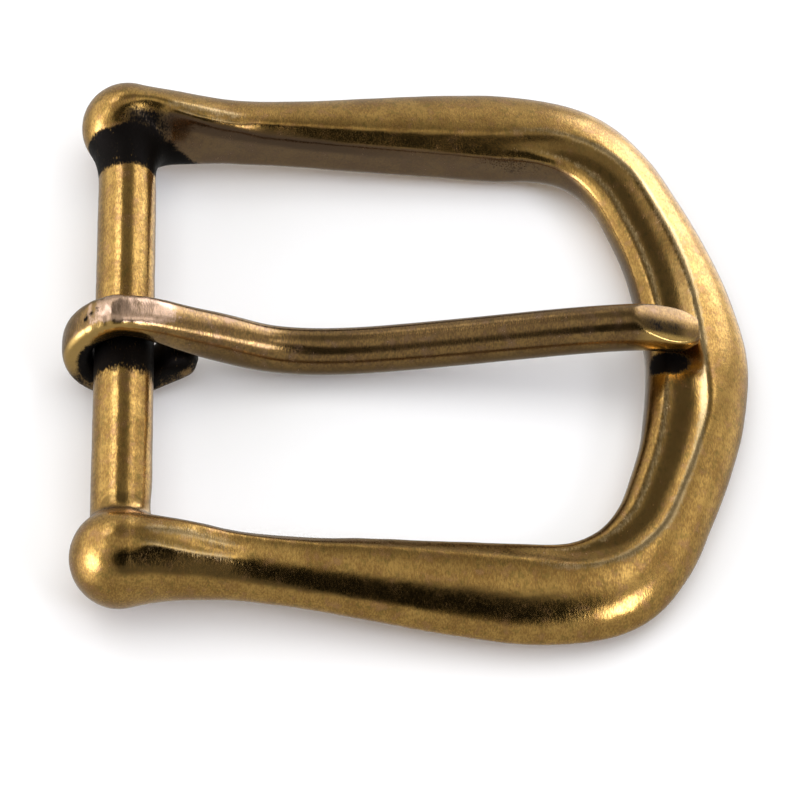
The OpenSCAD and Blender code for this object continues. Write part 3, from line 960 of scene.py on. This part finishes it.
def antique_brass(name, bright, worn, olive, rosy, tone_and_painted_shading, bare_and_highlight):
    """Worn brass under an uneven patina: the masks say where it is old, of a second tone, bare or black, and
    they also carry painted shadow, shade, light and highlights.
    """
    material, tree, body = shader(name)
    cloud, blotch, speck, fleck = (grain(tree, *features) for features in (CLOUD, BLOTCH, SPECK, FLECK))
    old_finish_and_shade = mask(tree, "old_finish_and_shade")
    tarnish = weighted(tree, (cloud, blotch, speck), TARNISH)
    uneven = calc(tree, "SUBTRACT", weighted(tree, (blotch, speck), UNEVEN), UNEVEN_MIDDLE)

    colour = mixed(tree, ramp(tree, tarnish, *WORN_RAMP), bright, worn)
    colour = mixed(tree, ramp(tree, fleck, *OLIVE_RAMP), colour, olive)
    colour = mixed(tree, ramp(tree, blotch, *ROSY_RAMP), colour, rosy)
    kept = ramp(tree, weighted(tree, (speck, blotch), KEPT), *KEPT_RAMP)
    # Old finish, and painted shade
    colour = mixed(tree, calc(tree, "MULTIPLY", old_finish_and_shade, kept), colour, OLD_BROWN_AND_SHADE)
    # Second tone, with painted shade on the frame's walls and painted light on the pin's near side
    colour = mixed(tree, calc(tree, "MULTIPLY", mask(tree, "tone_and_painted_shading"), TONE_SHARE), colour, tone_and_painted_shading)
    # Bare metal, and painted highlight lines
    shine = ramp(tree, calc(tree, "ADD", mask(tree, "bare_and_highlight"), uneven), *BARE_RAMP)
    colour = mixed(tree, shine, colour, bare_and_highlight)
    # Black patina, and painted shadow
    dark = ramp(tree, calc(tree, "ADD", mask(tree, "patina_and_shadow"), uneven), *BLACK_RAMP)
    colour = mixed(tree, dark, colour, BLACK)
    link(tree, colour, body.inputs["Base Color"])
    body.inputs["Metallic"].default_value = 1

    rough = ramp(tree, tarnish, *ROUGH_RAMP)
    rough = calc(tree, "ADD", rough, calc(tree, "MULTIPLY", dark, BLACK_ROUGHER))
    link(tree, rough, body.inputs["Roughness"])
    off = calc(tree, "MAXIMUM", dark, calc(tree, "MULTIPLY", old_finish_and_shade, COAT_OFF))
    coat = calc(tree, "MULTIPLY", calc(tree, "SUBTRACT", 1.0, off), COAT)
    link(tree, coat, body.inputs["Coat Weight"])
    body.inputs["Coat Roughness"].default_value = COAT_ROUGH

    bump = tree.nodes.new("ShaderNodeBump")
    bump.inputs["Strength"].default_value = BUMP
    bump.inputs["Distance"].default_value = BUMP_DEPTH * MM
    link(tree, weighted(tree, (speck, fleck), RELIEF), bump.inputs["Height"])
    link(tree, bump.outputs[0], body.inputs["Normal"])
    return material


def dress(piece, material):
    piece.data.materials.clear()
    piece.data.materials.append(material)


def make_floor():
    mesh = bpy.data.meshes.new("floor")
    corners = [(x * FLOOR_REACH, y * FLOOR_REACH, 0) for x, y in ((-1, -1), (1, -1), (1, 1), (-1, 1))]
    mesh.from_pydata(corners, [], [(0, 1, 2, 3)])
    floor = bpy.data.objects.new("floor", mesh)
    bpy.context.scene.collection.objects.link(floor)
    material, tree, body = shader("floor_white")
    link(tree, FLOOR_COLOUR, body.inputs["Base Color"])
    body.inputs["Roughness"].default_value = FLOOR_ROUGH
    body.inputs["Specular IOR Level"].default_value = FLOOR_SHINE
    mesh.materials.append(material)
    floor.visible_glossy = False


def aim(azimuth, elevation):
    a, e = math.radians(azimuth), math.radians(elevation)
    return (math.cos(a) * math.cos(e), math.sin(a) * math.cos(e), math.sin(e))


def make_tent():
    """The world's light: the tent's, and for each panel a soft round glow or shade."""
    world = bpy.data.worlds.new("studio")
    bpy.context.scene.world = world
    world.use_nodes = True
    tree = world.node_tree
    way = tree.nodes.new("ShaderNodeTexCoord").outputs["Generated"]
    light = TENT
    for panel in PANELS:
        dot = tree.nodes.new("ShaderNodeVectorMath")
        dot.operation = "DOT_PRODUCT"
        tree.links.new(way, dot.inputs[0])
        dot.inputs[1].default_value = aim(panel[AZ], panel[EL])
        edge = math.cos(math.radians(panel[WIDE] + panel[SOFT]))
        core = math.cos(math.radians(max(panel[WIDE] - panel[SOFT], 0)))
        light = calc(tree, "ADD", light, ramp(tree, dot.outputs["Value"], edge, core, 0, panel[GLOW]))
    light = calc(tree, "MAXIMUM", light, LEAST_LIGHT)
    link(tree, light, tree.nodes["Background"].inputs["Strength"])
    tint = mixed(tree, ramp(tree, light, *TINT_RAMP), WARM, COOL)
    link(tree, tint, tree.nodes["Background"].inputs["Color"])


def make_fill():
    """Overhead light for the floor, which the metal doesn't mirror."""
    lamp = bpy.data.lights.new("overhead", "AREA")
    lamp.size = FILL_SIDE
    lamp.energy = FILL_ENERGY
    fill = bpy.data.objects.new("overhead", lamp)
    fill.location = (0, 0, FILL_HEIGHT)
    fill.visible_glossy = False
    bpy.context.scene.collection.objects.link(fill)


make_camera()
frame_piece = build_frame()
pin_piece = build_pin()
paint(frame_piece, frame_masks)
paint(pin_piece, pin_masks)
dress(frame_piece, antique_brass("antique_brass_frame", **FRAME_COLOURS))
dress(pin_piece, antique_brass("antique_brass_pin", **PIN_COLOURS))
make_floor()
make_tent()
make_fill()
bpy.context.scene.view_settings.view_transform = "Standard"
